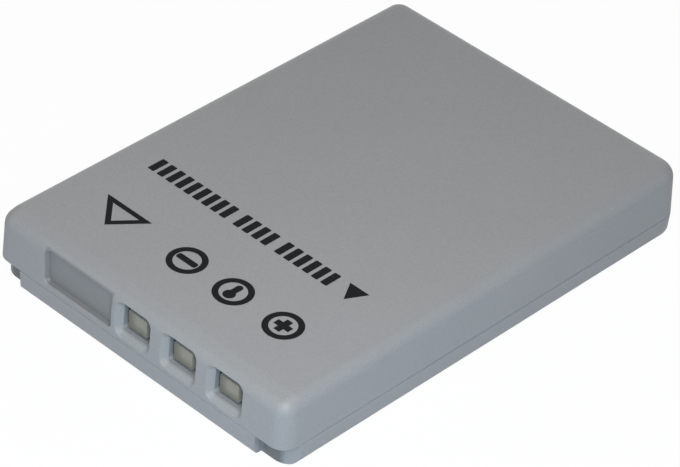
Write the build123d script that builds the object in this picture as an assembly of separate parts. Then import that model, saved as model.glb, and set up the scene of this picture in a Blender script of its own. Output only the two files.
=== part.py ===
from build123d import *
import math
import os

# Slim rechargeable camera battery: two welded plastic shells round a flat lithium-ion cell,
# with a protection board and three contacts behind windows at one end.
# Millimetres and degrees. X is the short axis, Y the long axis with the contacts at the -Y end,
# Z is up with the printed face on top. The origin is the middle of the underside.

# Outside of the case: the outline is largest at the seam and tapers away from it
LENGTH = 50.0
WIDTH = 35.4
THICKNESS = 6.8
SEAM_HEIGHT = 2.0
CASE_DRAFT = 3.0
NEAR_LEFT_RADIUS = 1.7
FAR_LEFT_RADIUS = 1.6
NEAR_RIGHT_RADIUS = 1.6
FAR_RIGHT_RADIUS = 2.4
LEAST_INNER_RADIUS = 0.2
TOP_EDGE_RADIUS = 1.2
BOTTOM_EDGE_RADIUS = 0.5
SEAM_CHAMFER = 0.1
EDGE_SHARE = 0.9

# Lead-in: a bevel along the top of the contact end
LEAD_IN_LENGTH = 1.8
LEAD_IN_DROP = 0.45

# Walls
SIDE_WALL = 0.8
CONTACT_END_WALL = 1.2
FAR_END_WALL = 0.8
TOP_WALL = 0.6
FLOOR_WALL = 0.5

# Weld tongue of the cover, standing in a rebate of the upper case
TONGUE_THICKNESS = 0.35
TONGUE_HEIGHT = 0.6
TONGUE_CLEARANCE = 0.05

# Contact windows: slots through the end wall above the seam, with funnel-shaped mouths
CONTACT_NAMES = ("contact_negative", "contact_sense", "contact_positive")
CONTACT_PITCH = 5.5
CONTACT_ROW_X = 5.05
WINDOW_WIDTH = 3.2
WINDOW_SILL = 1.0
WINDOW_DROP = 1.25
WINDOW_CORNER_RADIUS = 0.3
WINDOW_BEVEL = 0.55

# Key recess beside the windows
RECESS_X = -7.2
RECESS_WIDTH = 8.4
RECESS_SILL = 0.6
RECESS_DROP = 0.65
RECESS_WEB = 0.65
RECESS_SLOPE = 0.15
RECESS_CORNER_RADIUS = 0.5

# Lock notches in the cover's contact end, one at each corner
NOTCH_LENGTH = 3.3
NOTCH_WEB = 0.3
NOTCH_CORNER_RADIUS = 1.8

# Flat cell
CELL_SIDE_CLEARANCE = 0.15
CELL_END_CLEARANCE = 0.2
CELL_EDGE_RADIUS = 2.0
CELL_SIDE_FLAT = 0.6
PAD_THICKNESS = 0.2
PAD_MARGIN = 2.0
CAP_PLATE_THICKNESS = 0.8
CAP_PLATE_STEP = 0.1
CAP_INSULATOR_THICKNESS = 0.2
CAP_INSULATOR_MARGIN = 0.3
CUTOUT_CLEARANCE = 0.2

# Negative terminal, its gasket, the filling plug and the vent score in the cap plate
TERMINAL_LENGTH = 5.0
TERMINAL_HEIGHT = 2.2
TERMINAL_HEAD = 0.4
SHANK_RADIUS = 0.6
GASKET_MARGIN = 0.4
GASKET_FLANGE = 0.25
GASKET_SLEEVE = 0.3
RIVET_CLEARANCE = 0.01
PLUG_X = 5.5
PLUG_RADIUS = 0.6
VENT_X = 9.6
VENT_LENGTH = 3.6
VENT_HEIGHT = 2.0
VENT_SCORE_WIDTH = 0.2
VENT_SCORE_DEPTH = 0.2

# Protection board, its holder and the contact plates
BOARD_THICKNESS = 0.8
BOARD_CORNER_CLEARANCE = 0.15
BOARD_ROOF_CLEARANCE = 0.2
HOLDER_DEPTH = 4.4
HOLDER_BASE = 0.4
HOLDER_POST = 2.0
CONTACT_THICKNESS = 0.45
CONTACT_SIDE_GAP = 0.5
CONTACT_EDGE_GAP = 0.4

# Nickel tabs and the cut-off
TAB_THICKNESS = 0.15
TAB_WIDTH = 3.0
TAB_BEND_RADIUS = 0.4
TAB_POST_GAP = 0.5
TAB_WELD_LENGTH = 4.0
TAB_FOOT_LENGTH = 2.2
CUTOFF_LENGTH = 4.0
CUTOFF_THICKNESS = 0.3
CUTOFF_LEG_GAP = 1.0

# Board components
PACKAGE_LENGTH = 2.9
PACKAGE_BODY_WIDTH = 1.6
PACKAGE_HEIGHT = 1.0
PACKAGE_STANDOFF = 0.1
LEAD_SPAN = 2.8
LEAD_PITCH = 0.95
LEAD_WIDTH = 0.4
LEAD_THICKNESS = 0.15
LEAD_FOOT = 0.35
LEAD_INSIDE = 0.4
LEADS_PER_SIDE = 3
CHIP_LENGTH = 1.6
CHIP_WIDTH = 0.8
CHIP_HEIGHT = 0.45
CHIP_CAP = 0.3
CHIP_CAP_STEP = 0.03
CHIP_PITCH = 1.5

# Cutting tools run past the face they cut by this much
OVERCUT = 2.0

# Places worked out from the values above
LEAN = math.radians(CASE_DRAFT)
SEAM_TO_TOP = THICKNESS - SEAM_HEIGHT
TOP_INSET = SEAM_TO_TOP * math.tan(LEAN)
BOTTOM_INSET = SEAM_HEIGHT * math.tan(LEAN)
ROOF_Z = THICKNESS - TOP_WALL
CELL_BOTTOM_Z = FLOOR_WALL + PAD_THICKNESS
CELL_TOP_Z = ROOF_Z - PAD_THICKNESS
CELL_HEIGHT = CELL_TOP_Z - CELL_BOTTOM_Z
CELL_MID_Z = (CELL_TOP_Z + CELL_BOTTOM_Z) / 2
CELL_HALF_WIDTH = WIDTH / 2 - SIDE_WALL - CELL_SIDE_CLEARANCE
END_FACE_Y = -LENGTH / 2
END_WALL_Y = END_FACE_Y + CONTACT_END_WALL
BOARD_BACK_Y = END_WALL_Y + BOARD_THICKNESS
INSULATOR_Y = BOARD_BACK_Y + HOLDER_DEPTH
CAP_FACE_Y = INSULATOR_Y + CAP_INSULATOR_THICKNESS
CAN_MOUTH_Y = CAP_FACE_Y + CAP_PLATE_THICKNESS
CAN_END_Y = LENGTH / 2 - FAR_END_WALL - CELL_END_CLEARANCE
TERMINAL_FACE_Y = CAP_FACE_Y - GASKET_FLANGE - TERMINAL_HEAD
BOARD_TOP_Z = ROOF_Z - BOARD_ROOF_CLEARANCE
BOARD_MID_Z = (FLOOR_WALL + BOARD_TOP_Z) / 2
CORNER_RADII = [NEAR_LEFT_RADIUS, NEAR_RIGHT_RADIUS, FAR_RIGHT_RADIUS, FAR_LEFT_RADIUS]
LARGEST_CORNER_RADIUS = max(CORNER_RADII)
BOARD_HALF_WIDTH = WIDTH / 2 - LARGEST_CORNER_RADIUS - BOARD_CORNER_CLEARANCE
TAB_LEG_X = BOARD_HALF_WIDTH - HOLDER_POST - TAB_POST_GAP
CUTOFF_END_X = TAB_LEG_X - CUTOFF_LEG_GAP
CELL_TAB_Y = TERMINAL_FACE_Y - TAB_THICKNESS
CUTOFF_Y = CELL_TAB_Y - CUTOFF_THICKNESS
TONGUE_START_Y = END_WALL_Y + LARGEST_CORNER_RADIUS
WINDOW_LOW_Z = SEAM_HEIGHT + WINDOW_SILL
WINDOW_TOP_Z = THICKNESS - WINDOW_DROP
CONTACT_ROW_START = CONTACT_ROW_X - (len(CONTACT_NAMES) - 1) / 2 * CONTACT_PITCH
CONTACT_XS = [CONTACT_ROW_START + i * CONTACT_PITCH for i in range(len(CONTACT_NAMES))]

# Planes of the contact end through the seam: its drafted face, and an upright plane. Both look outwards
END_FACE = Plane((0, END_FACE_Y, SEAM_HEIGHT), x_dir=(1, 0, 0), z_dir=(0, -math.cos(LEAN), math.sin(LEAN)))
END_UPRIGHT = Plane((0, END_FACE_Y, SEAM_HEIGHT), x_dir=(1, 0, 0), z_dir=(0, -1, 0))


def block(low, high):
    """Box between two corners."""
    size = [b - a for a, b in zip(low, high)]
    return Pos(*low) * Box(*size, align=(Align.MIN, Align.MIN, Align.MIN))


def plan(z, side, near, far):
    """Rounded plan of the pack at a height, moved in at the sides and at the near and far ends."""
    x = WIDTH / 2 - side
    corners = [(-x, END_FACE_Y + near), (x, END_FACE_Y + near), (x, LENGTH / 2 - far), (-x, LENGTH / 2 - far)]
    radii = [max(radius - side, LEAST_INNER_RADIUS) for radius in CORNER_RADII]
    return Pos(0, 0, z) * make_face(FilletPolyline(*corners, radius=radii, close=True))


def tapered(height, inset):
    """Solid from the seam to a height above or below it: bevelled at the seam, then drawn in by the draft."""
    bevel_z = SEAM_HEIGHT + math.copysign(SEAM_CHAMFER, height)
    levels = [(SEAM_HEIGHT, SEAM_CHAMFER), (bevel_z, 0), (SEAM_HEIGHT + height, inset)]
    return loft([plan(z, move, move, move) for z, move in levels], ruled=True)


def rounded_rim(edges, radius, inset):
    """Shell with the edges round its flat side rounded, by at most a share of the tightest corner."""
    tightest = min(CORNER_RADII) - inset
    return fillet(edges, min(radius, EDGE_SHARE * tightest))


def lead_in_cut():
    """Wedge off the top of the contact end, on which the pack slides into its bay."""
    edge_y = END_FACE_Y + TOP_INSET
    slope = LEAD_IN_DROP / LEAD_IN_LENGTH
    start = (edge_y - OVERCUT, THICKNESS - LEAD_IN_DROP - OVERCUT * slope)
    ridge = (edge_y + LEAD_IN_LENGTH, THICKNESS)
    above = THICKNESS + OVERCUT
    side = Plane.YZ * make_face(Polyline(start, ridge, (ridge[0], above), (start[0], above), close=True))
    return extrude(side, WIDTH / 2 + OVERCUT, both=True)


def cavity(z_low, z_high, grow=0.0):
    """Room inside the walls between two heights, grown into the walls for the weld tongue."""
    room = plan(z_low, SIDE_WALL - grow, CONTACT_END_WALL - grow, FAR_END_WALL - grow)
    return extrude(room, z_high - z_low)


def weld_ring(height, grow, start_y):
    """Ring in the wall that stands up from the seam, along both sides and round the far end."""
    ring = cavity(SEAM_HEIGHT, SEAM_HEIGHT + height, grow)
    ring -= cavity(SEAM_HEIGHT, SEAM_HEIGHT + height)
    behind = block((-WIDTH, start_y, 0), (WIDTH, LENGTH, THICKNESS))
    return ring & behind


def end_outline(plane, depth, x_mid, width, z_low, z_high, radius):
    """Rounded rectangle across the contact end, on a plane moved in by a depth."""
    middle = Pos(x_mid, (z_low + z_high) / 2 - SEAM_HEIGHT)
    return plane.offset(-depth) * middle * RectangleRounded(width, z_high - z_low, radius)


def window_cut(x_mid):
    """Slot through the end wall, with a bevel of even width round its mouth."""
    def outline(depth, grow):
        return end_outline(END_FACE, depth, x_mid, WINDOW_WIDTH + 2 * grow, WINDOW_LOW_Z - grow,
                           WINDOW_TOP_Z + grow, WINDOW_CORNER_RADIUS + grow)

    slot = extrude(outline(-OVERCUT, 0), CONTACT_END_WALL + 2 * OVERCUT, dir=(0, 1, 0))
    mouth = outline(-OVERCUT, WINDOW_BEVEL + OVERCUT)
    return slot + loft([mouth, outline(WINDOW_BEVEL, 0)], ruled=True)


def recess_cut():
    """Shallow key recess with an upright floor and sloping walls."""
    low = SEAM_HEIGHT + RECESS_SILL
    high = THICKNESS - RECESS_DROP
    depth = CONTACT_END_WALL - RECESS_WEB
    mouth = end_outline(END_UPRIGHT, 0, RECESS_X, RECESS_WIDTH, low, high, RECESS_CORNER_RADIUS)
    floor = end_outline(END_UPRIGHT, depth, RECESS_X, RECESS_WIDTH - 2 * RECESS_SLOPE, low + RECESS_SLOPE,
                        high - RECESS_SLOPE, RECESS_CORNER_RADIUS - RECESS_SLOPE)
    return loft([mouth, floor], ruled=True)


def notch_cut(side):
    """Lock notch from the bottom up to the seam, out through the left (-1) or the right (1) corner.

    Its back wall turns into the side of the case by an arc, at most a share of the notch's length.
    """
    front = END_FACE_Y - OVERCUT
    back = END_WALL_Y - NOTCH_WEB
    inner = side * (WIDTH / 2 - NOTCH_LENGTH)
    outer = side * (WIDTH / 2 + OVERCUT)
    turn = min(NOTCH_CORNER_RADIUS, EDGE_SHARE * NOTCH_LENGTH)
    arc_start = (side * (WIDTH / 2 - turn), back)
    arc_end = (side * WIDTH / 2, back + turn)
    walls = Polyline(arc_end, (outer, back + turn), (outer, front), (inner, front), (inner, back), arc_start)
    outline = make_face(walls + TangentArc(arc_start, arc_end, tangent=(side, 0)))
    return extrude(Pos(0, 0, -OVERCUT) * outline, SEAM_HEIGHT + 2 * OVERCUT, dir=(0, 0, 1))


def upper_case():
    """Deep shell with the printed face, rounded along the top and bevelled at the seam."""
    shell = tapered(SEAM_TO_TOP, TOP_INSET) - lead_in_cut()
    ramp, top = shell.faces().sort_by(Axis.Z)[-2:]
    edges = top.edges() + ramp.edges().sort_by(Axis.Z)[:-1]
    shell = rounded_rim(edges, TOP_EDGE_RADIUS, TOP_INSET)
    shell -= cavity(SEAM_HEIGHT - OVERCUT, ROOF_Z)
    rebate_height = TONGUE_HEIGHT + TONGUE_CLEARANCE
    rebate_grow = TONGUE_THICKNESS + TONGUE_CLEARANCE
    shell -= weld_ring(rebate_height, rebate_grow, TONGUE_START_Y - TONGUE_CLEARANCE)
    shell -= recess_cut()
    for x_mid in CONTACT_XS:
        shell -= window_cut(x_mid)
    return shell


def lower_cover():
    """Shallow shell that closes the case from below, with the lock notches and the weld tongue on its rim."""
    shell = tapered(-SEAM_HEIGHT, BOTTOM_INSET)
    shell = rounded_rim(shell.faces().sort_by(Axis.Z)[0].edges(), BOTTOM_EDGE_RADIUS, BOTTOM_INSET)
    shell -= cavity(FLOOR_WALL, SEAM_HEIGHT + OVERCUT)
    for side in (-1, 1):
        shell -= notch_cut(side)
    return shell + weld_ring(TONGUE_HEIGHT, TONGUE_THICKNESS, TONGUE_START_Y)


def cell_section(y, inset):
    """Rounded cross-section of the cell, moved in all round."""
    x = CELL_HALF_WIDTH - inset
    low = CELL_BOTTOM_Z + inset
    high = CELL_TOP_Z - inset
    radius = min(CELL_EDGE_RADIUS, (CELL_HEIGHT - CELL_SIDE_FLAT) / 2) - inset
    corners = [(-x, y, low), (x, y, low), (x, y, high), (-x, y, high)]
    return make_face(FilletPolyline(*corners, radius=radius, close=True))


def cell_can():
    """Drawn can of the sealed cell: its section along Y, rounded at the far corners like the case."""
    side = SIDE_WALL + CELL_SIDE_CLEARANCE
    near = CAN_MOUTH_Y - END_FACE_Y
    far = FAR_END_WALL + CELL_END_CLEARANCE
    body = extrude(cell_section(CAN_MOUTH_Y, 0), CAN_END_Y - CAN_MOUTH_Y, dir=(0, 1, 0))
    rounded = plan(0, side, near - LARGEST_CORNER_RADIUS, far)
    return body & extrude(rounded, THICKNESS)


def through_cap(radius, x_mid):
    """Round rod through the cap plate."""
    disc = Plane(origin=(x_mid, CAP_FACE_Y, CELL_MID_Z), z_dir=(0, 1, 0)) * Circle(radius)
    return extrude(disc, CAP_PLATE_THICKNESS)


def on_cap(length, height, base_y, thickness, x_mid=0.0):
    """Flat rectangle on the cap plate, rising from base_y towards the contact end."""
    low = (x_mid - length / 2, base_y - thickness, CELL_MID_Z - height / 2)
    high = (x_mid + length / 2, base_y, CELL_MID_Z + height / 2)
    return block(low, high)


def cell_cap_plate():
    """Lid of the can, with the terminal hole, the filling hole and the scored vent."""
    plate = extrude(cell_section(CAP_FACE_Y, CAP_PLATE_STEP), CAP_PLATE_THICKNESS, dir=(0, 1, 0))
    plate -= through_cap(SHANK_RADIUS + GASKET_SLEEVE + 2 * RIVET_CLEARANCE, 0)
    plate -= through_cap(PLUG_RADIUS + RIVET_CLEARANCE, PLUG_X)
    vent = Plane(origin=(VENT_X, CAP_FACE_Y, CELL_MID_Z), x_dir=(1, 0, 0), z_dir=(0, 1, 0))
    score = SlotOverall(VENT_LENGTH, VENT_HEIGHT)
    score -= SlotOverall(VENT_LENGTH - 2 * VENT_SCORE_WIDTH, VENT_HEIGHT - 2 * VENT_SCORE_WIDTH)
    return plate - extrude(vent * score, VENT_SCORE_DEPTH)


def terminal_gasket():
    """Plastic flange under the terminal head, with a sleeve through the cap plate."""
    margin = 2 * GASKET_MARGIN
    flange = on_cap(TERMINAL_LENGTH + margin, TERMINAL_HEIGHT + margin, CAP_FACE_Y, GASKET_FLANGE)
    sleeve = through_cap(SHANK_RADIUS + GASKET_SLEEVE + RIVET_CLEARANCE, 0)
    hole = Pos(0, -GASKET_FLANGE, 0) * through_cap(SHANK_RADIUS + RIVET_CLEARANCE, 0)
    return flange + sleeve - hole - through_cap(SHANK_RADIUS + RIVET_CLEARANCE, 0)


def negative_terminal():
    """Rivet: a rectangular head on the gasket and a shank through it."""
    head = on_cap(TERMINAL_LENGTH, TERMINAL_HEIGHT, CAP_FACE_Y - GASKET_FLANGE, TERMINAL_HEAD)
    return head + through_cap(SHANK_RADIUS, 0) + Pos(0, -GASKET_FLANGE, 0) * through_cap(SHANK_RADIUS, 0)


def cap_insulator():
    """Fibre sheet on the cap plate, cut out round the terminal and the positive weld."""
    sheet = extrude(cell_section(INSULATOR_Y, CAP_PLATE_STEP + CAP_INSULATOR_MARGIN), CAP_INSULATOR_THICKNESS,
                    dir=(0, 1, 0))
    margin = 2 * (GASKET_MARGIN + CUTOUT_CLEARANCE)
    sheet -= on_cap(TERMINAL_LENGTH + margin, TERMINAL_HEIGHT + margin, CAP_FACE_Y, CAP_INSULATOR_THICKNESS)
    weld_mid = -TAB_LEG_X + TAB_WELD_LENGTH / 2
    weld_length = TAB_WELD_LENGTH + TAB_THICKNESS + 2 * CUTOUT_CLEARANCE
    weld_height = TAB_WIDTH + 2 * CUTOUT_CLEARANCE
    return sheet - on_cap(weld_length, weld_height, CAP_FACE_Y, CAP_INSULATOR_THICKNESS, weld_mid)


def strip(*points):
    """Nickel strip of even thickness along a bent line in plan, with its width along Z."""
    line = FilletPolyline(*points, radius=TAB_BEND_RADIUS)
    return Pos(0, 0, CELL_MID_Z - TAB_WIDTH / 2) * extrude(trace(line, TAB_THICKNESS), TAB_WIDTH)


def positive_tab():
    """Strip welded to the cap plate that turns to the board and lies flat on its back."""
    weld_y = CAP_FACE_Y - TAB_THICKNESS / 2
    foot_y = BOARD_BACK_Y + TAB_THICKNESS / 2
    x = -TAB_LEG_X
    return strip((x + TAB_WELD_LENGTH, weld_y), (x, weld_y), (x, foot_y), (x + TAB_FOOT_LENGTH, foot_y))


def tab_band(x_low, x_high, y_low, y_high):
    """Flat piece as wide as the tabs."""
    return block((x_low, y_low, CELL_MID_Z - TAB_WIDTH / 2), (x_high, y_high, CELL_MID_Z + TAB_WIDTH / 2))


def negative_cell_tab():
    """Straight strip from the terminal head to the cut-off."""
    return tab_band(-TERMINAL_LENGTH / 2, CUTOFF_END_X, CELL_TAB_Y, TERMINAL_FACE_Y)


def thermal_cutoff():
    """Polymer chip between the two negative strips."""
    return tab_band(CUTOFF_END_X - CUTOFF_LENGTH, CUTOFF_END_X, CUTOFF_Y, CELL_TAB_Y)


def negative_board_tab():
    """Strip from the cut-off that turns to the board and lies flat on its back."""
    start_y = CUTOFF_Y - TAB_THICKNESS / 2
    foot_y = BOARD_BACK_Y + TAB_THICKNESS / 2
    start_x = CUTOFF_END_X - CUTOFF_LENGTH
    x = TAB_LEG_X
    return strip((start_x, start_y), (x, start_y), (x, foot_y), (x - TAB_FOOT_LENGTH, foot_y))


def protection_board():
    """Circuit board standing on the cover's floor against the end wall."""
    low = (-BOARD_HALF_WIDTH, END_WALL_Y, FLOOR_WALL)
    return block(low, (BOARD_HALF_WIDTH, BOARD_BACK_Y, BOARD_TOP_Z))


def contact_plate(x_mid):
    """Plated contact on the front of the board, behind its window."""
    half = WINDOW_WIDTH / 2 - CONTACT_SIDE_GAP
    low = (x_mid - half, END_WALL_Y - CONTACT_THICKNESS, WINDOW_LOW_Z + CONTACT_EDGE_GAP)
    return block(low, (x_mid + half, END_WALL_Y, WINDOW_TOP_Z - CONTACT_EDGE_GAP))


def board_holder():
    """Moulded spacer that presses the board to the end wall: a base bar and two posts."""
    x = BOARD_HALF_WIDTH
    base = block((-x, BOARD_BACK_Y, FLOOR_WALL), (x, INSULATOR_Y, FLOOR_WALL + HOLDER_BASE))
    right = block((x - HOLDER_POST, BOARD_BACK_Y, FLOOR_WALL), (x, INSULATOR_Y, BOARD_TOP_Z))
    left = block((-x, BOARD_BACK_Y, FLOOR_WALL), (HOLDER_POST - x, INSULATOR_Y, BOARD_TOP_Z))
    return base + right + left


def adhesive_pad(z_low):
    """Double-sided pad on one flat side of the cell."""
    x = CELL_HALF_WIDTH - CELL_EDGE_RADIUS - PAD_MARGIN
    low = (-x, CAN_MOUTH_Y + PAD_MARGIN, z_low)
    return block(low, (x, CAN_END_Y - LARGEST_CORNER_RADIUS - PAD_MARGIN, z_low + PAD_THICKNESS))


def on_board(part, x_mid, z_offset=0.0):
    """Place a component that is modelled flat, with its height along Z, on the back of the board."""
    seat = Plane(origin=(x_mid, BOARD_BACK_Y, BOARD_MID_Z + z_offset), x_dir=(1, 0, 0), z_dir=(0, 1, 0))
    return seat * part


def leaded_package():
    """Small moulded package with gull-wing leads on both long sides."""
    body = Pos(0, 0, PACKAGE_STANDOFF) * Box(PACKAGE_LENGTH, PACKAGE_BODY_WIDTH, PACKAGE_HEIGHT,
                                             align=(Align.CENTER, Align.CENTER, Align.MIN))
    mid_z = PACKAGE_STANDOFF + PACKAGE_HEIGHT / 2
    foot_z = LEAD_THICKNESS / 2
    shoulder_y = LEAD_SPAN / 2 - LEAD_FOOT
    for side in (-1, 1):
        inner_y = PACKAGE_BODY_WIDTH / 2 - LEAD_INSIDE
        line = Polyline((side * inner_y, mid_z), (side * shoulder_y, mid_z),
                        (side * shoulder_y, foot_z), (side * LEAD_SPAN / 2, foot_z))
        lead = extrude(Plane.YZ * trace(line, LEAD_THICKNESS), LEAD_WIDTH / 2, both=True)
        for i in range(LEADS_PER_SIDE):
            body += Pos((i - (LEADS_PER_SIDE - 1) / 2) * LEAD_PITCH, 0, 0) * lead
    return body


def chip():
    """Ceramic chip component with plated end caps that stand a little proud."""
    step = 2 * CHIP_CAP_STEP
    low_align = (Align.CENTER, Align.CENTER, Align.MIN)
    body = Pos(0, 0, CHIP_CAP_STEP) * Box(CHIP_LENGTH, CHIP_WIDTH - step, CHIP_HEIGHT - step, align=low_align)
    for side in (-1, 1):
        cap_x = side * (CHIP_LENGTH - CHIP_CAP) / 2
        body += Pos(cap_x, 0, 0) * Box(CHIP_CAP, CHIP_WIDTH, CHIP_HEIGHT, align=low_align)
    return body


def component_places():
    """Middles of the five component columns, evenly spaced between the feet of the tabs."""
    widths = [PACKAGE_LENGTH, PACKAGE_LENGTH, CHIP_LENGTH, CHIP_LENGTH, CHIP_LENGTH]
    start = TAB_FOOT_LENGTH - TAB_LEG_X
    gap = (-2 * start - sum(widths)) / (len(widths) + 1)
    places = []
    for width in widths:
        places.append(start + gap + width / 2)
        start += gap + width
    return places


def board_components():
    """Every component on the back of the board, by node name."""
    switch_x, ic_x, resistor_x, capacitor_x, sensor_x = component_places()
    pair = (-CHIP_PITCH / 2, CHIP_PITCH / 2)
    return {
        "switch_transistors": on_board(leaded_package(), switch_x),
        "protection_ic": on_board(leaded_package(), ic_x),
        "chip_resistors": Compound([on_board(chip(), resistor_x, offset) for offset in pair]),
        "chip_capacitors": Compound([on_board(chip(), capacitor_x, offset) for offset in pair]),
        "sense_resistor": on_board(chip(), sensor_x),
    }


def pack():
    """Every piece of the battery, by node name."""
    pieces = {
        "upper_case": upper_case(),
        "lower_cover": lower_cover(),
        "cell_can": cell_can(),
        "cell_cap_plate": cell_cap_plate(),
        "terminal_gasket": terminal_gasket(),
        "negative_terminal": negative_terminal(),
        "fill_plug": through_cap(PLUG_RADIUS, PLUG_X),
        "cap_insulator": cap_insulator(),
        "positive_tab": positive_tab(),
        "negative_cell_tab": negative_cell_tab(),
        "thermal_cutoff": thermal_cutoff(),
        "negative_board_tab": negative_board_tab(),
        "protection_board": protection_board(),
        "board_holder": board_holder(),
        "upper_adhesive_pad": adhesive_pad(CELL_TOP_Z),
        "lower_adhesive_pad": adhesive_pad(FLOOR_WALL),
    }
    for name, x_mid in zip(CONTACT_NAMES, CONTACT_XS):
        pieces[name] = contact_plate(x_mid)
    pieces.update(board_components())
    return pieces


os.makedirs("parts", exist_ok=True)
for name, piece in pack().items():
    export_step(piece, f"parts/{name}.step")
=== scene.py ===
"""Looks of a slim rechargeable camera battery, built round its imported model.

Metres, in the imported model's own frame: X across the pack, Y along it with the contacts at the -Y end,
Z up out of the printed face.
"""

import math

import bpy
import numpy as np
from bpy.props import FloatProperty, FloatVectorProperty, PointerProperty
from mathutils import Matrix, Vector


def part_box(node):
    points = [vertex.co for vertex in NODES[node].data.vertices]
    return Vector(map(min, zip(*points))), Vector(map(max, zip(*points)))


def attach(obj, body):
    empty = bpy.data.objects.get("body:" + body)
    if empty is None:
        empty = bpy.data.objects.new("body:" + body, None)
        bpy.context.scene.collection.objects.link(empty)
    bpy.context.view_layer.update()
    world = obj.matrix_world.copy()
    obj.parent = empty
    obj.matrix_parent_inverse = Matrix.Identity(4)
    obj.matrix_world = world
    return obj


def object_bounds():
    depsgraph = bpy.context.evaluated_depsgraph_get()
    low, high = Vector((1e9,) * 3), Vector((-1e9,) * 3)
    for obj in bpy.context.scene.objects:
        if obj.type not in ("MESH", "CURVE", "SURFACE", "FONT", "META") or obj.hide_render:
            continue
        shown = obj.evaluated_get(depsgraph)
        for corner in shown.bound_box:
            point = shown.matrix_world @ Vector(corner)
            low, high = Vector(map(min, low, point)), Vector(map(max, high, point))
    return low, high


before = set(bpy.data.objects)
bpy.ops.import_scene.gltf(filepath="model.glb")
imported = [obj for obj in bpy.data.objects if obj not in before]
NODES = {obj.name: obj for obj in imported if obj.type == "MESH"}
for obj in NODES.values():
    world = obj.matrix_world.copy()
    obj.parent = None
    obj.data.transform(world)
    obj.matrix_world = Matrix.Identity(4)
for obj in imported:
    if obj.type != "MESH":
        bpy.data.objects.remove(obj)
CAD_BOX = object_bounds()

bl_info = {
    "name": "Camera battery looks",
    "version": (1, 0, 0),
    "blender": (4, 5, 0),
    "location": "View3D > Sidebar > Battery",
    "description": "Finishes, printed marks and studio of a slim camera battery",
    "category": "Object",
}

MM = 0.001
BODY = "root"
PRINTED_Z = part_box("upper_case")[1].z

CONTACTS = ("contact_negative", "contact_sense", "contact_positive")

# Painted shade in the key recess and its ledge, the lock notches and the sill of each contact window, in
# millimetres: the middle of a box, its half size, its soft border and the colour's share there
KEY_RECESS_SHADE = ((-7.2, -24.4, 4.375), (4.3, 0.5, 1.875), (0.1, 0.1, 0.1), 0.71)
RECESS_SILL_SHADE = ((-7.2, -24.6, 2.65), (4.2, 0.3, 0.15), (0.1, 0.1, 0.05), 0.8)
LOCK_NOTCH_SHADES = [((side * 15.6, -23.75, 1.05), (1.3, 0.85, 1.15), (0.5, 0.3, 0.2), 0.5) for side in (-1, 1)]
WINDOW_SILL_SHADE_HALF = (1.8, 0.5, 0.25)
WINDOW_SILL_SHADE_BORDER = (0.2, 0.2, 0.1)
WINDOW_SILL_SHADE_SHARE = 0.7
WINDOW_SILL_SHADE_Y = -24.1
WINDOW_SILL_SHADE_Z = 2.9

# Middle of a contact kept out of the painted shade, in millimetres from the contact's own middle, and the
# depth of its plating
UNSHADED_OFFSET = (0.5, 0.0, 0.4)
UNSHADED_HALF = (1.4, 1.0, 1.1)
UNSHADED_BORDER = (0.8, 0.1, 0.7)
PLATING_DEPTH = 0.015

# Painted case: sizes in millimetres, and low and high ends of the tint, the flecks and the roughness
CASE_CLOUD = 9.0
CASE_GRAIN_DEPTH = 0.02
CASE_BUMP = 0.25
CASE_TINT = (0.97, 1.03)
CASE_FLECK = (0.94, 1.06)
CASE_ROUGHNESS = (0.42, 0.58)
FLECK_NOISE = (0.3, 0.7)
PLASTIC_IOR = 1.5

# Plated contacts: sizes in millimetres, metal of the face and the edges, and the colour's share under the
# painted shade
PLATE_LINE = 0.12
PLATE_STRETCH = (0.12, 1.0, 1.0)
PLATE_LINE_DEPTH = 0.005
PLATE_BUMP = 0.2
PLATE_PATCH = 1.2
PLATE_TINT = (0.85, 1.15)
PLATE_ROUGHNESS = (0.4, 0.6)
PLATE_METAL = (0.45, 0.2)
PLATE_SHADE_SHARE = 0.6

# Board: sizes in millimetres
WEAVE_PITCH = 0.5
WEAVE_DEPTH = 0.004
WEAVE_BUMP = 0.1
MASK_CLOUD = 2.0
MASK_TINT = (0.85, 1.15)
MASK_ROUGHNESS = 0.35

# Components: half sizes of their bodies in millimetres, between the leads along Z or the end caps along X
PACKAGE_HALF_HEIGHT = 0.82
CHIP_HALF_LENGTH = 0.5
EPOXY = "#1C1C1E"
CHIP_BODIES = {"chip_resistors": "#26262A", "chip_capacitors": "#9A7B55", "sense_resistor": "#3A3A3E"}
TIN = "#C4C6C7"
SPECK = 0.08
SPECK_DEPTH = 0.005
SPECK_BUMP = 0.2
SPECK_TINT = (0.8, 1.25)
BODY_TO_TIN_ROUGHNESS = (0.6, 0.32)

# Cell and tabs: sizes in millimetres, and how far their lines are drawn out along each axis
DRAWN_STRETCH = (1.0, 0.08, 1.0)
DRAWN_LINE = 0.15
STRIP_STRETCH = (0.1, 0.1, 1.0)
STRIP_LINE = 0.1
METAL_LINE_DEPTH = 0.01
METAL_BUMP = 0.15
METAL_CLOUD = 4.0
METAL_TINT = (0.94, 1.05)
METAL_ROUGHNESS = (0.26, 0.42)

# Sheets and mouldings: name, colour, width of the grain, roughness, and depth of the grain, in millimetres
NYLON = ("natural_nylon_moulded", "#DEDCD2", 0.2, 0.5, 0.01)
FLUOROPOLYMER = ("fluoropolymer_gasket_moulded", "#E4E4E0", 0.3, 0.35, 0.005)
FIBRE = ("vulcanised_fibre_pressed", "#BFC9B4", 0.15, 0.7, 0.01)
CARBON_POLYMER = ("carbon_filled_polymer_lacquered", "#3E5A48", 0.3, 0.45, 0.005)
FOAM_TAPE = ("acrylic_foam_tape_cut", "#D9D8D2", 0.12, 0.85, 0.02)
SHEET_TINT = (0.9, 1.06)
SHEET_BUMP = 0.3

# Ink: sizes in millimetres
INK_NAME = "black_pad_printed_ink"
INK_CLOUD = 0.25
INK_CLOUD_DEPTH = 0.01
INK_BUMP = 0.2
INK_TINT = (0.8, 1.3)
INK_ROUGHNESS = 0.7
INK_SPECULAR = 0.15

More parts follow.
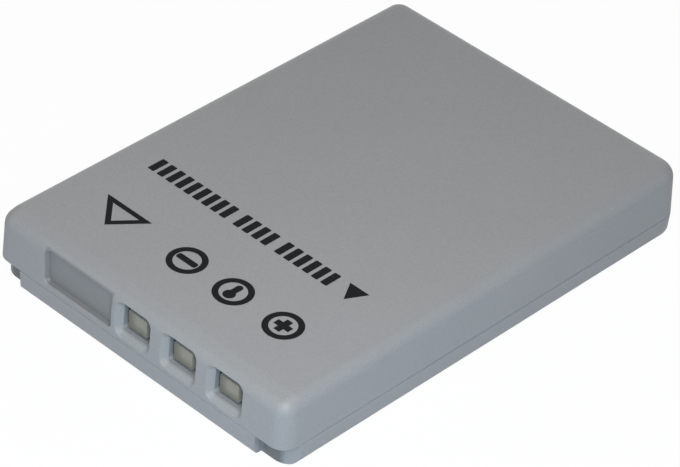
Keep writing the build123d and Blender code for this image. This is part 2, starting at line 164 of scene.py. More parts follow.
# Sockets of a Mix node for colours
FACTOR = 0
COLOUR_A = 6
COLOUR_B = 7
MIXED = 2

# Printed marks, in millimetres on the printed face: each group of bars has its first bar's x and its count
BAR_GROUPS = ((-13.07, 9), (-2.5, 4), (2.55, 6))
BAR_ROW_Y = -10.17
BAR_CORNER = 0.12
ARROWHEAD = ((9.5, -9.25), (11.75, -9.25), (10.66, -11.25))
TRIANGLE = ((-12.3, -16.5), (-7.9, -16.5), (-9.95, -19.0))
MARK_XS = {"negative": -1.72, "temperature": 3.87, "positive": 9.81}
MARK_Y = -17.48
INK_SUNK = 0.005
INK_BEVEL = 0.02

# Corner radius of the minus as a share of its line width, and points round a circle and round a corner
MINUS_ROUNDING = 1 / 3
MARK_POINTS = 72
CORNER_POINTS = 7

# Photograph's camera, in millimetres, solved from the outline of the pack
CAMERA_TARGET = (0.334, -0.837, 2.312)
SENSOR_WIDTH = 36.0
CLIP_START = 10.0

# Studio, in millimetres: the place, size and colour of each square lamp, and the floor
LIGHT_TARGET = (0, 0, 3)
WINDOW_LIGHT = ((91, -103, 107), 60, "#CEEBFF")
LAMP_LIGHT = ((40, -60, 130), 60, "#FFE9CE")
FILL_LIGHT = ((-260, 300, 25), 50, "#FAFBFF")
WHITE = (1, 1, 1, 1)
FLOOR_REACH = 2000
FLOOR_GAP = 0.02
FLOOR_COLOUR = "#EEF3F8"
FLOOR_WHITE_SHARE = 0.965


def linear(code):
    """Linear RGB of an sRGB hex colour."""
    srgb = np.array([int(code[i:i + 2], 16) for i in (1, 3, 5)]) / 255
    return tuple(np.where(srgb <= 0.04045, srgb / 12.92, ((srgb + 0.055) / 1.055) ** 2.4))


def colour_property(name, description, code):
    """Colour setting with an sRGB hex default."""
    return FloatVectorProperty(name=name, description=description, subtype="COLOR", size=3, min=0, max=1,
                               default=linear(code))


def length_property(name, description, millimetres):
    """Length setting in metres, with its default in millimetres."""
    return FloatProperty(name=name, description=description, unit="LENGTH", precision=5, min=0,
                         default=millimetres * MM)


def angle_property(name, description, degrees):
    """Angle setting in radians, with its default in degrees."""
    return FloatProperty(name=name, description=description, subtype="ANGLE", default=math.radians(degrees))


class BatteryFinish(bpy.types.PropertyGroup):
    """Colours and grain of the battery's surfaces"""
    case: colour_property("Case", "Silver-grey of the moulded shells", "#98999C")
    case_grain: length_property("Case grain", "Width of the spark-eroded grain of the mould", 0.16)
    gold: colour_property("Gold", "Thin dull gold plate on the contacts", "#939187")
    board: colour_property("Board", "Solder mask of the protection board", "#1B3A2A")
    sheared: colour_property("Sheared edges", "Bare edges of the contacts", "#A9A398")
    aluminium: colour_property("Aluminium", "Drawn can of the cell", "#C6C8CA")
    nickel: colour_property("Nickel", "Rolled strip of the tabs", "#B8B2A6")
    ink: colour_property("Ink", "Pad-printed marks", "#08080A")


class BatteryPrint(bpy.types.PropertyGroup):
    """Sizes of the printed marks"""
    ink_height: length_property("Ink height", "How far the ink stands on the face", 0.01)
    bar_width: length_property("Bar width", "Width of one bar of the row", 0.74)
    bar_height: length_property("Bar height", "Height of one bar of the row", 1.9)
    bar_pitch: length_property("Bar pitch", "Spacing of the bars", 1.107)
    triangle_line: length_property("Triangle line", "Line width of the open triangle", 0.52)
    circle_size: length_property("Circle size", "Outside diameter of a contact mark", 3.65)
    circle_line: length_property("Circle line", "Line width of a contact mark", 0.58)
    sign_length: length_property("Sign length", "Length of the minus bar", 2.3)
    plus_length: length_property("Plus length", "Length of each arm pair of the plus", 1.7)
    sign_line: length_property("Sign line", "Line width of the signs inside the circles", 0.66)
    thermometer_length: length_property("Thermometer length", "Length of the thermometer with its bulb", 2.1)
    bulb_size: length_property("Bulb size", "Diameter of the thermometer's bulb", 1.15)


class BatteryStudio(bpy.types.PropertyGroup):
    """Camera and light"""
    azimuth: angle_property("Azimuth", "Camera's turn round the pack", 42.093)
    elevation: angle_property("Elevation", "Camera's height above the floor's plane", 37.828)
    roll: angle_property("Roll", "Camera's tilt about its own axis", 4.110)
    distance: length_property("Distance", "From the camera to the pack", 317.623)
    lens: FloatProperty(name="Lens", description="Focal length in millimetres", default=192.453, min=1)
    ambient: FloatProperty(name="Ambient", description="Strength of the even light", default=0.17, min=0)
    window: FloatProperty(name="Window", description="Power of the cool light at the near right in watts",
                          default=0.174, min=0)
    lamp: FloatProperty(name="Lamp", description="Power of the warm light over the contact end in watts",
                        default=0.09, min=0)
    fill: FloatProperty(name="Fill", description="Power of the low, distant light behind the pack in watts",
                        default=0.95, min=0)


def wire(tree, node, inputs):
    """Set or link a node's inputs: each value is a constant or another node's output."""
    for name, value in inputs.items():
        if isinstance(value, bpy.types.NodeSocket):
            tree.links.new(value, node.inputs[name])
        else:
            node.inputs[name].default_value = value


def add_node(tree, kind, inputs, **settings):
    """Add a node with its settings and links."""
    node = tree.nodes.new(kind)
    for name, value in settings.items():
        setattr(node, name, value)
    wire(tree, node, inputs)
    return node


def start_material(name):
    """New node material: the material, its tree, its Principled shader and its Object coordinates."""
    material = bpy.data.materials.new(name)
    material.use_nodes = True
    tree = material.node_tree
    tree.nodes.clear()
    shader = add_node(tree, "ShaderNodeBsdfPrincipled", {})
    add_node(tree, "ShaderNodeOutputMaterial", {"Surface": shader.outputs["BSDF"]})
    place = add_node(tree, "ShaderNodeTexCoord", {}).outputs["Object"]
    return material, tree, shader, place


def per_metre(millimetres):
    """Texture scale for a pattern of that size."""
    return 1 / (millimetres * MM)


def rgba(colour, gain=1.0):
    """Colour for a socket, made lighter or darker by a gain."""
    return (*(min(channel * gain, 1.0) for channel in colour), 1.0)


def dress(material, *names):
    """Put a material on CAD nodes."""
    for name in names:
        for slot in NODES[name].material_slots:
            slot.material = material


def away_from(tree, place, axis, middle):
    """Distance of a point from a middle along one axis."""
    parts = add_node(tree, "ShaderNodeSeparateXYZ", {"Vector": place})
    offset = add_node(tree, "ShaderNodeMath", {0: parts.outputs[axis], 1: middle}, operation="SUBTRACT")
    return add_node(tree, "ShaderNodeMath", {0: offset.outputs[0]}, operation="ABSOLUTE").outputs[0]


def inside_box(tree, place, middle, half, border):
    """1 inside a box in millimetres, falling to 0 over a soft border within its faces."""
    mask = 1.0
    for axis in range(3):
        distance = away_from(tree, place, axis, middle[axis] * MM)
        near = add_node(tree, "ShaderNodeMapRange", {"Value": distance, "From Min": half[axis] * MM,
                                                     "From Max": (half[axis] - border[axis]) * MM})
        mask = add_node(tree, "ShaderNodeMath", {0: near.outputs["Result"], 1: mask},
                        operation="MULTIPLY").outputs[0]
    return mask


def contact_middle(name):
    """Middle of a contact in millimetres."""
    low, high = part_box(name)
    return (low + high) / 2 / MM


def painted_abs(look):
    """Silver-grey paint on ABS moulded in a spark-eroded tool: even and satin, with a fine grain.

    Painted shade darkens the colour in the key recess and its ledge, in the lock notches and on the sill of
    each contact window.
    """
    material, tree, shader, place = start_material("silver_grey_paint_on_moulded_abs")
    grain = look.case_grain / MM
    pits = add_node(tree, "ShaderNodeTexNoise", {"Vector": place, "Scale": per_metre(grain), "Detail": 3.0})
    cloud = add_node(tree, "ShaderNodeTexNoise",
                     {"Vector": place, "Scale": per_metre(CASE_CLOUD), "Detail": 2.0})
    tint = add_node(tree, "ShaderNodeMix",
                    {FACTOR: cloud.outputs["Fac"], COLOUR_A: rgba(look.case, CASE_TINT[0]),
                     COLOUR_B: rgba(look.case, CASE_TINT[1])}, data_type="RGBA")
    fleck = add_node(tree, "ShaderNodeMapRange", {"Value": pits.outputs["Fac"], "From Min": FLECK_NOISE[0],
                                                  "From Max": FLECK_NOISE[1], "To Min": CASE_FLECK[0],
                                                  "To Max": CASE_FLECK[1]})
    gain = fleck.outputs["Result"]
    sill_shades = [((contact_middle(name).x, WINDOW_SILL_SHADE_Y, WINDOW_SILL_SHADE_Z), WINDOW_SILL_SHADE_HALF, WINDOW_SILL_SHADE_BORDER,
              WINDOW_SILL_SHADE_SHARE) for name in CONTACTS]
    # Painted shade: each box darkens the colour towards its share, in the hollows and on the sills
    for middle, half, border, share in (KEY_RECESS_SHADE, RECESS_SILL_SHADE, *LOCK_NOTCH_SHADES, *sill_shades):
        thin = add_node(tree, "ShaderNodeMapRange", {"Value": inside_box(tree, place, middle, half, border),
                                                     "To Min": 1.0, "To Max": share})
        gain = add_node(tree, "ShaderNodeMath", {0: gain, 1: thin.outputs["Result"]},
                        operation="MULTIPLY").outputs[0]
    colour = add_node(tree, "ShaderNodeVectorMath", {0: tint.outputs[MIXED], "Scale": gain},
                      operation="SCALE")
    sheen = add_node(tree, "ShaderNodeMapRange", {"Value": pits.outputs["Fac"], "To Min": CASE_ROUGHNESS[0],
                                                  "To Max": CASE_ROUGHNESS[1]})
    bump = add_node(tree, "ShaderNodeBump", {"Height": pits.outputs["Fac"], "Strength": CASE_BUMP,
                                             "Distance": CASE_GRAIN_DEPTH * MM})
    wire(tree, shader, {"Base Color": colour.outputs[0], "Roughness": sheen.outputs["Result"],
                        "IOR": PLASTIC_IOR, "Normal": bump.outputs["Normal"]})
    return material


def gold_plate(look):
    """Thin gold flash on rolled nickel: dull grey-yellow metal with rolling lines across the pack.

    Painted shade darkens each plate to the left and below, and its upper right keeps the full colour. Its
    edges were sheared after plating, so they are coarse and bare.
    """
    material, tree, shader, place = start_material("gold_flash_on_rolled_nickel")
    stretch = add_node(tree, "ShaderNodeMapping", {"Vector": place, "Scale": PLATE_STRETCH})
    lines = add_node(tree, "ShaderNodeTexNoise", {"Vector": stretch.outputs["Vector"],
                                                  "Scale": per_metre(PLATE_LINE), "Detail": 2.0})
    cloud = add_node(tree, "ShaderNodeTexNoise",
                     {"Vector": place, "Scale": per_metre(PLATE_PATCH), "Detail": 3.0})
    # Painted shade: each plate is darker outside a box towards its upper right, so to the left and below
    unshaded = 0.0
    for name in CONTACTS:
        unshaded_box = inside_box(tree, place, contact_middle(name) + Vector(UNSHADED_OFFSET), UNSHADED_HALF, UNSHADED_BORDER)
        unshaded = add_node(tree, "ShaderNodeMath", {0: unshaded_box, 1: unshaded}, operation="MAXIMUM").outputs[0]
    plate = add_node(tree, "ShaderNodeMix", {FACTOR: unshaded, COLOUR_A: rgba(look.gold, PLATE_SHADE_SHARE),
                                             COLOUR_B: rgba(look.gold)}, data_type="RGBA")
    depth = away_from(tree, place, 1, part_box(CONTACTS[0])[0].y)
    edge = add_node(tree, "ShaderNodeMath", {0: depth, 1: PLATING_DEPTH * MM},
                    operation="GREATER_THAN").outputs[0]
    metal = add_node(tree, "ShaderNodeMix", {FACTOR: edge, COLOUR_A: plate.outputs[MIXED],
                                             COLOUR_B: rgba(look.sheared)}, data_type="RGBA")
    patchy = add_node(tree, "ShaderNodeMapRange", {"Value": cloud.outputs["Fac"], "To Min": PLATE_TINT[0],
                                                   "To Max": PLATE_TINT[1]})
    colour = add_node(tree, "ShaderNodeVectorMath",
                      {0: metal.outputs[MIXED], "Scale": patchy.outputs["Result"]}, operation="SCALE")
    shine = add_node(tree, "ShaderNodeMapRange", {"Value": edge, "To Min": PLATE_METAL[0],
                                                  "To Max": PLATE_METAL[1]})
    rolled = add_node(tree, "ShaderNodeMapRange",
                      {"Value": lines.outputs["Fac"], "To Min": PLATE_ROUGHNESS[0],
                       "To Max": PLATE_ROUGHNESS[1]})
    dull = add_node(tree, "ShaderNodeMath", {0: rolled.outputs["Result"], 1: edge}, operation="MAXIMUM")
    bump = add_node(tree, "ShaderNodeBump", {"Height": lines.outputs["Fac"], "Strength": PLATE_BUMP,
                                             "Distance": PLATE_LINE_DEPTH * MM})
    wire(tree, shader, {"Base Color": colour.outputs[0], "Metallic": shine.outputs["Result"],
                        "Roughness": dull.outputs[0], "Normal": bump.outputs["Normal"]})
    return material


def solder_mask(look):
    """Solder mask on glass-epoxy laminate: dark green half-gloss over a faint woven glass pattern."""
    material, tree, shader, place = start_material("green_solder_mask_on_glass_epoxy")
    weave = add_node(tree, "ShaderNodeTexChecker", {"Vector": place, "Scale": per_metre(WEAVE_PITCH)})
    cloud = add_node(tree, "ShaderNodeTexNoise",
                     {"Vector": place, "Scale": per_metre(MASK_CLOUD), "Detail": 3.0})
    tint = add_node(tree, "ShaderNodeMix",
                    {FACTOR: cloud.outputs["Fac"], COLOUR_A: rgba(look.board, MASK_TINT[0]),
                     COLOUR_B: rgba(look.board, MASK_TINT[1])}, data_type="RGBA")
    bump = add_node(tree, "ShaderNodeBump", {"Height": weave.outputs["Fac"], "Strength": WEAVE_BUMP,
                                             "Distance": WEAVE_DEPTH * MM})
    wire(tree, shader, {"Base Color": tint.outputs[MIXED], "Roughness": MASK_ROUGHNESS, "IOR": PLASTIC_IOR,
                        "Normal": bump.outputs["Normal"]})
    return material


def tinned_component(name, node, body, axis, half_size):
    """Component body with tinned metal beyond a band along one axis: its leads or its end caps."""
    material, tree, shader, place = start_material(name)
    low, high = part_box(node)
    distance = away_from(tree, place, axis, (low[axis] + high[axis]) / 2)
    tin = add_node(tree, "ShaderNodeMath", {0: distance, 1: half_size * MM},
                   operation="GREATER_THAN").outputs[0]
    speck = add_node(tree, "ShaderNodeTexNoise", {"Vector": place, "Scale": per_metre(SPECK), "Detail": 2.0})
    shade = add_node(tree, "ShaderNodeMix",
                     {FACTOR: speck.outputs["Fac"], COLOUR_A: rgba(body, SPECK_TINT[0]),
                      COLOUR_B: rgba(body, SPECK_TINT[1])}, data_type="RGBA")
    colour = add_node(tree, "ShaderNodeMix", {FACTOR: tin, COLOUR_A: shade.outputs[MIXED],
                                              COLOUR_B: rgba(linear(TIN))}, data_type="RGBA")
    gloss = add_node(tree, "ShaderNodeMapRange", {"Value": tin, "To Min": BODY_TO_TIN_ROUGHNESS[0],
                                                  "To Max": BODY_TO_TIN_ROUGHNESS[1]})
    bump = add_node(tree, "ShaderNodeBump", {"Height": speck.outputs["Fac"], "Strength": SPECK_BUMP,
                                             "Distance": SPECK_DEPTH * MM})
    wire(tree, shader, {"Base Color": colour.outputs[MIXED], "Metallic": tin,
                        "Roughness": gloss.outputs["Result"], "Normal": bump.outputs["Normal"]})
    return material


def worked_metal(name, colour, stretch, line_width):
    """Drawn or rolled metal: fine lines along the working direction that spread its highlights."""
    material, tree, shader, place = start_material(name)
    along = add_node(tree, "ShaderNodeMapping", {"Vector": place, "Scale": stretch})
    lines = add_node(tree, "ShaderNodeTexNoise", {"Vector": along.outputs["Vector"],
                                                  "Scale": per_metre(line_width), "Detail": 3.0})
    cloud = add_node(tree, "ShaderNodeTexNoise",
                     {"Vector": place, "Scale": per_metre(METAL_CLOUD), "Detail": 2.0})
    tint = add_node(tree, "ShaderNodeMix",
                    {FACTOR: cloud.outputs["Fac"], COLOUR_A: rgba(colour, METAL_TINT[0]),
                     COLOUR_B: rgba(colour, METAL_TINT[1])}, data_type="RGBA")
    dull = add_node(tree, "ShaderNodeMapRange", {"Value": lines.outputs["Fac"], "To Min": METAL_ROUGHNESS[0],
                                                 "To Max": METAL_ROUGHNESS[1]})
    bump = add_node(tree, "ShaderNodeBump", {"Height": lines.outputs["Fac"], "Strength": METAL_BUMP,
                                             "Distance": METAL_LINE_DEPTH * MM})
    wire(tree, shader, {"Base Color": tint.outputs[MIXED], "Metallic": 1.0,
                        "Roughness": dull.outputs["Result"], "Normal": bump.outputs["Normal"]})
    return material


def plain_sheet(name, code, grain, roughness, depth):
    """Non-metal with a fine random grain, such as moulded nylon, pressed fibre or cut foam."""
    material, tree, shader, place = start_material(name)
    colour = linear(code)
    fibre = add_node(tree, "ShaderNodeTexNoise", {"Vector": place, "Scale": per_metre(grain), "Detail": 4.0})
    tint = add_node(tree, "ShaderNodeMix",
                    {FACTOR: fibre.outputs["Fac"], COLOUR_A: rgba(colour, SHEET_TINT[0]),
                     COLOUR_B: rgba(colour, SHEET_TINT[1])}, data_type="RGBA")
    bump = add_node(tree, "ShaderNodeBump", {"Height": fibre.outputs["Fac"], "Strength": SHEET_BUMP,
                                             "Distance": depth * MM})
    wire(tree, shader, {"Base Color": tint.outputs[MIXED], "Roughness": roughness, "IOR": PLASTIC_IOR,
                        "Normal": bump.outputs["Normal"]})
    return material


def printed_ink(look):
    """Pad-printed ink: a thin black film, matt and hardly shining, that follows the grain under it."""
    material, tree, shader, place = start_material(INK_NAME)
    film = add_node(tree, "ShaderNodeTexNoise",
                    {"Vector": place, "Scale": per_metre(INK_CLOUD), "Detail": 3.0})
    tint = add_node(tree, "ShaderNodeMix",
                    {FACTOR: film.outputs["Fac"], COLOUR_A: rgba(look.ink, INK_TINT[0]),
                     COLOUR_B: rgba(look.ink, INK_TINT[1])}, data_type="RGBA")
    bump = add_node(tree, "ShaderNodeBump", {"Height": film.outputs["Fac"], "Strength": INK_BUMP,
                                             "Distance": INK_CLOUD_DEPTH * MM})
    wire(tree, shader, {"Base Color": tint.outputs[MIXED], "Roughness": INK_ROUGHNESS, "IOR": PLASTIC_IOR,
                        "Specular IOR Level": INK_SPECULAR, "Normal": bump.outputs["Normal"]})
    return material


def skin(rings, looped):
    """Vertices and faces of the surface through closed rings of equal count.

    A looped skin joins its last ring to its first. Otherwise a fan of triangles about the middle closes each
    end ring. Faces point outwards where rings run counter-clockwise about the way from ring to ring. They are
    arrays of vertex numbers: the quads, then each fan.
    """
    count, size = rings.shape[:2]
    index = np.arange(count * size).reshape(count, size)
    rows = np.arange(count if looped else count - 1)
    here = index[rows]
    there = index[(rows + 1) % count]
    quads = np.stack([here, np.roll(here, -1, 1), np.roll(there, -1, 1), there], axis=-1).reshape(-1, 4)
    vertices = rings.reshape(-1, 3)
    if looped:
        return vertices, [quads]
    poles = rings[[0, -1]].mean(axis=1)
    first, last = index[0], index[-1]
    low = np.stack([np.full(size, count * size), np.roll(first, -1), first], axis=-1)
    high = np.stack([np.full(size, count * size + 1), last, np.roll(last, -1)], axis=-1)
    return np.concatenate([vertices, poles]), [quads, low, high]


def ink_levels(height):
    """Heights and insets of an ink film's edge: down in the face, up its side and over a small bevel."""
    low = PRINTED_Z - INK_SUNK * MM
    high = PRINTED_Z + height
    return np.array([low, (PRINTED_Z + high) / 2, high]), np.array([0, 0, INK_BEVEL * MM])


def ink_patch(outline, height):
    """Filled mark: a counter-clockwise outline stacked at the film's levels, drawn in towards its middle."""
    levels, insets = ink_levels(height)
    middle = outline.mean(axis=0)
    arms = outline - middle
    reach = np.linalg.norm(arms, axis=1, keepdims=True)
    flat = middle + arms[None] * (1 - insets[:, None, None] / reach[None])
    heights = np.broadcast_to(levels[:, None, None], (*flat.shape[:2], 1))
    return skin(np.concatenate([flat, heights], axis=-1), looped=False)


def ink_line(path, width, height):
    """Closed line: the film's bevelled profile carried round a counter-clockwise path."""
    levels, insets = ink_levels(height)
    ahead = np.roll(path, -1, 0) - path
    ahead /= np.linalg.norm(ahead, axis=1, keepdims=True)
    behind = np.roll(ahead, 1, 0)
    tangent = ahead + behind
    share = np.linalg.norm(tangent, axis=1, keepdims=True) / 2
    tangent /= 2 * share
    outward = np.stack([tangent[:, 1], -tangent[:, 0]], axis=-1) / share
    across = np.concatenate([(width / 2 - insets)[::-1], insets - width / 2])
    profile_z = np.concatenate([levels[::-1], levels])
    flat = path[:, None] + outward[:, None] * across[None, :, None]
    heights = np.broadcast_to(profile_z[None, :, None], (*flat.shape[:2], 1))
    return skin(np.concatenate([flat, heights], axis=-1), looped=True)


def rounded_box(middle, width, height, radius):
    """Counter-clockwise outline of a rectangle with a quarter circle at each corner."""
    turn = np.linspace(0, math.pi / 2, CORNER_POINTS)
    angles = turn[None] + np.arange(4)[:, None] * math.pi / 2
    signs = np.array([(1, 1), (-1, 1), (-1, -1), (1, -1)])
    centres = signs * (np.array([width, height]) / 2 - radius)
    arcs = np.stack([np.cos(angles), np.sin(angles)], axis=-1) * radius
    return np.asarray(middle) + (centres[:, None] + arcs).reshape(-1, 2)


def circle(middle, radius):
    """Counter-clockwise circle."""
    angles = np.linspace(0, 2 * math.pi, MARK_POINTS, endpoint=False)
    return np.asarray(middle) + radius * np.stack([np.cos(angles), np.sin(angles)], axis=-1)


def counter_clockwise(corners):
    """Corners in metres, turned round if they run clockwise."""
    points = np.array(corners) * MM
    following = np.roll(points, -1, 0)
    area = (points[:, 0] * following[:, 1] - following[:, 0] * points[:, 1]).sum()
    return points if area > 0 else points[::-1]


def plus_outline(middle, length, width):
    """Counter-clockwise outline of a plus: one arm's three corners, turned four times."""
    arm = np.array([(length, -width), (length, width), (width, width)]) / 2
    quarter = np.array([[0, 1], [-1, 0]])
    return np.asarray(middle) + np.concatenate([arm @ np.linalg.matrix_power(quarter, i) for i in range(4)])


def thermometer(middle, length, width, bulb_size):
    """Counter-clockwise outline of a thermometer: an arc round the bulb and a half circle over the stem.

    The arc is open where the stem leaves the bulb, at the angle from upright whose sine is the stem's width
    over the bulb's.
    """
    opening = math.asin(width / bulb_size)
    bulb_angles = np.linspace(math.pi / 2 + opening, 5 * math.pi / 2 - opening, MARK_POINTS)
    top_angles = np.linspace(0, math.pi, MARK_POINTS // 2)
    arcs = ((bulb_angles, bulb_size, (bulb_size - length) / 2), (top_angles, width, (length - width) / 2))
    outline = [np.stack([np.cos(angles), np.sin(angles)], axis=-1) * across / 2 + (0, height)
               for angles, across, height in arcs]
    return np.asarray(middle) + np.concatenate(outline)


def print_piece(name, marks, look):
    """One printed piece of one or more closed marks, riding on the case."""
    vertices = np.concatenate([points for points, _ in marks])
    starts = np.cumsum([0] + [len(points) for points, _ in marks])
    faces = []
    for (_, arrays), start in zip(marks, starts):
        for corners in arrays:
            faces += (corners + start).tolist()
    mesh = bpy.data.meshes.new(name)
    mesh.from_pydata(vertices.tolist(), [], faces)
    mesh.validate()
    if not mesh.polygons:
        raise RuntimeError(f"{name} has no faces")
    mesh.materials.append(bpy.data.materials.get(INK_NAME) or printed_ink(look))
    piece = bpy.data.objects.new(name, mesh)
    bpy.context.scene.collection.objects.link(piece)
    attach(piece, BODY)


class BATTERY_OT_finish_case(bpy.types.Operator):
    """Give both shells their moulded finish"""
    bl_idname = "battery.finish_case"
    bl_label = "Finish case"

    def execute(self, context):
        dress(painted_abs(context.scene.battery_finish), "upper_case", "lower_cover")
        return {"FINISHED"}


class BATTERY_OT_finish_contacts(bpy.types.Operator):
    """Plate the three contacts"""
    bl_idname = "battery.finish_contacts"
    bl_label = "Finish contacts"

    def execute(self, context):
        dress(gold_plate(context.scene.battery_finish), *CONTACTS)
        return {"FINISHED"}


class BATTERY_OT_finish_board(bpy.types.Operator):
    """Finish the protection board, its components and its holder"""
    bl_idname = "battery.finish_board"
    bl_label = "Finish board"

    def execute(self, context):
        look = context.scene.battery_finish
        dress(solder_mask(look), "protection_board")
        for node in ("protection_ic", "switch_transistors"):
            epoxy = tinned_component(f"{node}_in_black_epoxy", node, linear(EPOXY), 2, PACKAGE_HALF_HEIGHT)
            dress(epoxy, node)
        for node, code in CHIP_BODIES.items():
            ceramic = tinned_component(f"{node}_in_fired_ceramic", node, linear(code), 0, CHIP_HALF_LENGTH)
            dress(ceramic, node)
        dress(plain_sheet(*NYLON), "board_holder")
        return {"FINISHED"}


class BATTERY_OT_finish_cell(bpy.types.Operator):
    """Finish the cell, its tabs, sheets and pads"""
    bl_idname = "battery.finish_cell"
    bl_label = "Finish cell"

    def execute(self, context):
        look = context.scene.battery_finish
        drawn = worked_metal("aluminium_deep_drawn", look.aluminium, DRAWN_STRETCH, DRAWN_LINE)
        dress(drawn, "cell_can", "cell_cap_plate", "fill_plug")
        rolled = worked_metal("nickel_strip_rolled", look.nickel, STRIP_STRETCH, STRIP_LINE)
        dress(rolled, "negative_terminal", "positive_tab", "negative_cell_tab", "negative_board_tab")
        dress(plain_sheet(*FLUOROPOLYMER), "terminal_gasket")
        dress(plain_sheet(*FIBRE), "cap_insulator")
        dress(plain_sheet(*CARBON_POLYMER), "thermal_cutoff")
        dress(plain_sheet(*FOAM_TAPE), "upper_adhesive_pad", "lower_adhesive_pad")
        return {"FINISHED"}


class BATTERY_OT_print_direction(bpy.types.Operator):
    """Print the row of bars, the arrowhead at its end and the open triangle"""
    bl_idname = "battery.print_direction"
    bl_label = "Print direction marks"

    def execute(self, context):
        size = context.scene.battery_print
        look = context.scene.battery_finish
        places = [first * MM + i * size.bar_pitch for first, count in BAR_GROUPS for i in range(count)]
        bars = [rounded_box((x, BAR_ROW_Y * MM), size.bar_width, size.bar_height, BAR_CORNER * MM)
                for x in places]
        print_piece("direction_bars", [ink_patch(bar, size.ink_height) for bar in bars], look)
        print_piece("direction_arrowhead", [ink_patch(counter_clockwise(ARROWHEAD), size.ink_height)], look)
        triangle = ink_line(counter_clockwise(TRIANGLE), size.triangle_line, size.ink_height)
        print_piece("direction_triangle", [triangle], look)
        return {"FINISHED"}


class BATTERY_OT_print_contacts(bpy.types.Operator):
    """Print the circled signs over the contacts: minus, thermometer and plus"""
    bl_idname = "battery.print_contacts"
    bl_label = "Print contact marks"

    def execute(self, context):
        size = context.scene.battery_print
        look = context.scene.battery_finish
        line = size.sign_line
        radius = (size.circle_size - size.circle_line) / 2
        middles = {name: np.array([x, MARK_Y]) * MM for name, x in MARK_XS.items()}
        signs = {
            "negative": rounded_box(middles["negative"], size.sign_length, line, line * MINUS_ROUNDING),
            "temperature": thermometer(middles["temperature"], size.thermometer_length, line, size.bulb_size),
            "positive": plus_outline(middles["positive"], size.plus_length, line),
        }
        for name, outline in signs.items():
            ring = ink_line(circle(middles[name], radius), size.circle_line, size.ink_height)
            print_piece(f"{name}_mark", [ring, ink_patch(outline, size.ink_height)], look)
        return {"FINISHED"}


def aim(origin, target):
    """Matrix at a point whose -Z axis looks at a target."""
    way = (Vector(target) - Vector(origin)).to_track_quat("-Z", "Y")
    return Matrix.Translation(origin) @ way.to_matrix().to_4x4()


def softbox(name, power, origin, size, code):
    """Square area lamp that faces the pack and that the camera doesn't see."""
    lamp = bpy.data.lights.new(name, "AREA")
    lamp.size = size * MM
    lamp.energy = power
    lamp.color = linear(code)
    holder = bpy.data.objects.new(name, lamp)
    bpy.context.scene.collection.objects.link(holder)
    holder.matrix_world = aim(Vector(origin) * MM, Vector(LIGHT_TARGET) * MM)
    holder.visible_camera = False
    return holder


def background_ray(tree):
    """1 for a ray that should see the white background, else 0."""
    path = add_node(tree, "ShaderNodeLightPath", {})
    seen = add_node(tree, "ShaderNodeMath",
                    {0: path.outputs["Is Camera Ray"], 1: path.outputs["Is Glossy Ray"]}, operation="MAXIMUM")
    return add_node(tree, "ShaderNodeMath", {0: seen.outputs[0], 1: path.outputs["Is Transmission Ray"]},
                    operation="MAXIMUM").outputs[0]


def pale_floor():
    """Pale matt floor that shows the camera mostly white and keeps the pack's shadow."""
    material = bpy.data.materials.new("pale_matt_floor")
    material.use_nodes = True
    tree = material.node_tree
    tree.nodes.clear()
    matt = add_node(tree, "ShaderNodeBsdfDiffuse", {"Color": rgba(linear(FLOOR_COLOUR))})
    white = add_node(tree, "ShaderNodeEmission", {"Color": WHITE, "Strength": 1.0})
    share = add_node(tree, "ShaderNodeMath", {0: background_ray(tree), 1: FLOOR_WHITE_SHARE},
                     operation="MULTIPLY")
    mixed = add_node(tree, "ShaderNodeMixShader",
                     {0: share.outputs[0], 1: matt.outputs[0], 2: white.outputs[0]})
    add_node(tree, "ShaderNodeOutputMaterial", {"Surface": mixed.outputs[0]})
    return material


def lay_floor():
    """Square floor just under the pack."""
    reach = FLOOR_REACH * MM
    ground = CAD_BOX[0].z - FLOOR_GAP * MM
    corners = [(x * reach, y * reach, ground) for x, y in ((-1, -1), (1, -1), (1, 1), (-1, 1))]
    mesh = bpy.data.meshes.new("floor")
    mesh.from_pydata(corners, [], [(0, 1, 2, 3)])
    mesh.materials.append(pale_floor())
    floor = bpy.data.objects.new("floor", mesh)
    bpy.context.scene.collection.objects.link(floor)


def even_light(strength):
    """World that lights the pack evenly and shows the camera and reflections white."""
    world = bpy.data.worlds.new("even_light")
    world.use_nodes = True
    tree = world.node_tree
    tree.nodes.clear()
    seen = background_ray(tree)
    even = add_node(tree, "ShaderNodeBackground", {"Color": WHITE, "Strength": strength})
    white = add_node(tree, "ShaderNodeBackground", {"Color": WHITE, "Strength": 1.0})
    mixed = add_node(tree, "ShaderNodeMixShader", {0: seen, 1: even.outputs[0], 2: white.outputs[0]})
    add_node(tree, "ShaderNodeOutputWorld", {"Surface": mixed.outputs[0]})
    return world


def photo_camera(studio):
    """Camera that looks at its target from a distance along a line set by azimuth and elevation.

    Its right axis starts level, across that line, and turns about the line by the roll.
    """
    look = Vector((-math.sin(studio.azimuth) * math.cos(studio.elevation),
                   math.cos(studio.azimuth) * math.cos(studio.elevation), -math.sin(studio.elevation)))
    level = Vector((math.cos(studio.azimuth), math.sin(studio.azimuth), 0))
    right = level * math.cos(studio.roll) + level.cross(look) * math.sin(studio.roll)
    axes = Matrix((right, right.cross(look), -look)).transposed()
    lens = bpy.data.cameras.new("photo_camera")
    lens.sensor_width = SENSOR_WIDTH
    lens.lens = studio.lens
    lens.clip_start = CLIP_START * MM
    camera = bpy.data.objects.new("photo_camera", lens)
    bpy.context.scene.collection.objects.link(camera)
    origin = Vector(CAMERA_TARGET) * MM - look * studio.distance
    camera.matrix_world = Matrix.Translation(origin) @ axes.to_4x4()
    return camera


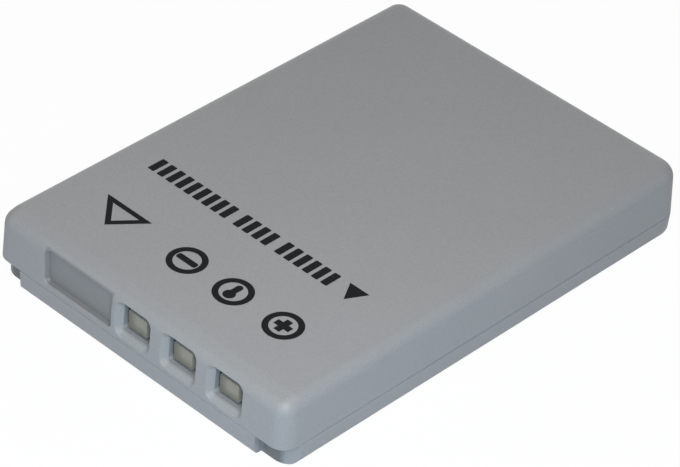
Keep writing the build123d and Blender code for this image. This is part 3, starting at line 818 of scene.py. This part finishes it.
class BATTERY_OT_studio(bpy.types.Operator):
    """Set up the floor, the soft light, the white background and the camera"""
    bl_idname = "battery.studio"
    bl_label = "Set up studio"

    def execute(self, context):
        scene = context.scene
        studio = scene.battery_studio
        lay_floor()
        softbox("window_light", studio.window, *WINDOW_LIGHT)
        softbox("lamp_light", studio.lamp, *LAMP_LIGHT)
        fill = softbox("fill_light", studio.fill, *FILL_LIGHT)
        fill.visible_glossy = False
        scene.world = even_light(studio.ambient)
        scene.camera = photo_camera(studio)
        scene.view_settings.view_transform = "Standard"
        return {"FINISHED"}


class BATTERY_PT_looks(bpy.types.Panel):
    """Settings and steps of the battery's looks"""
    bl_idname = "BATTERY_PT_looks"
    bl_label = "Camera battery"
    bl_space_type = "VIEW_3D"
    bl_region_type = "UI"
    bl_category = "Battery"

    def draw(self, context):
        scene = context.scene
        for group in (scene.battery_finish, scene.battery_print, scene.battery_studio):
            box = self.layout.box()
            for name in group.__annotations__:
                box.prop(group, name)
        for operator in OPERATORS:
            self.layout.operator(operator.bl_idname)


GROUPS = {"battery_finish": BatteryFinish, "battery_print": BatteryPrint, "battery_studio": BatteryStudio}
OPERATORS = (
    BATTERY_OT_finish_case,
    BATTERY_OT_finish_contacts,
    BATTERY_OT_finish_board,
    BATTERY_OT_finish_cell,
    BATTERY_OT_print_direction,
    BATTERY_OT_print_contacts,
    BATTERY_OT_studio,
)


def register():
    """Register the settings, the steps and the panel."""
    for entry in (*GROUPS.values(), *OPERATORS, BATTERY_PT_looks):
        bpy.utils.register_class(entry)
    for name, group in GROUPS.items():
        setattr(bpy.types.Scene, name, PointerProperty(type=group))


def unregister():
    """Take the panel, the steps and the settings away again."""
    for name in GROUPS:
        delattr(bpy.types.Scene, name)
    for entry in (BATTERY_PT_looks, *reversed(OPERATORS), *GROUPS.values()):
        bpy.utils.unregister_class(entry)


def main():
    """Make every piece in order."""
    register()
    bpy.ops.battery.finish_case()
    bpy.ops.battery.finish_contacts()
    bpy.ops.battery.finish_board()
    bpy.ops.battery.finish_cell()
    bpy.ops.battery.print_direction()
    bpy.ops.battery.print_contacts()
    bpy.ops.battery.studio()


if __name__ == "__main__":
    main()
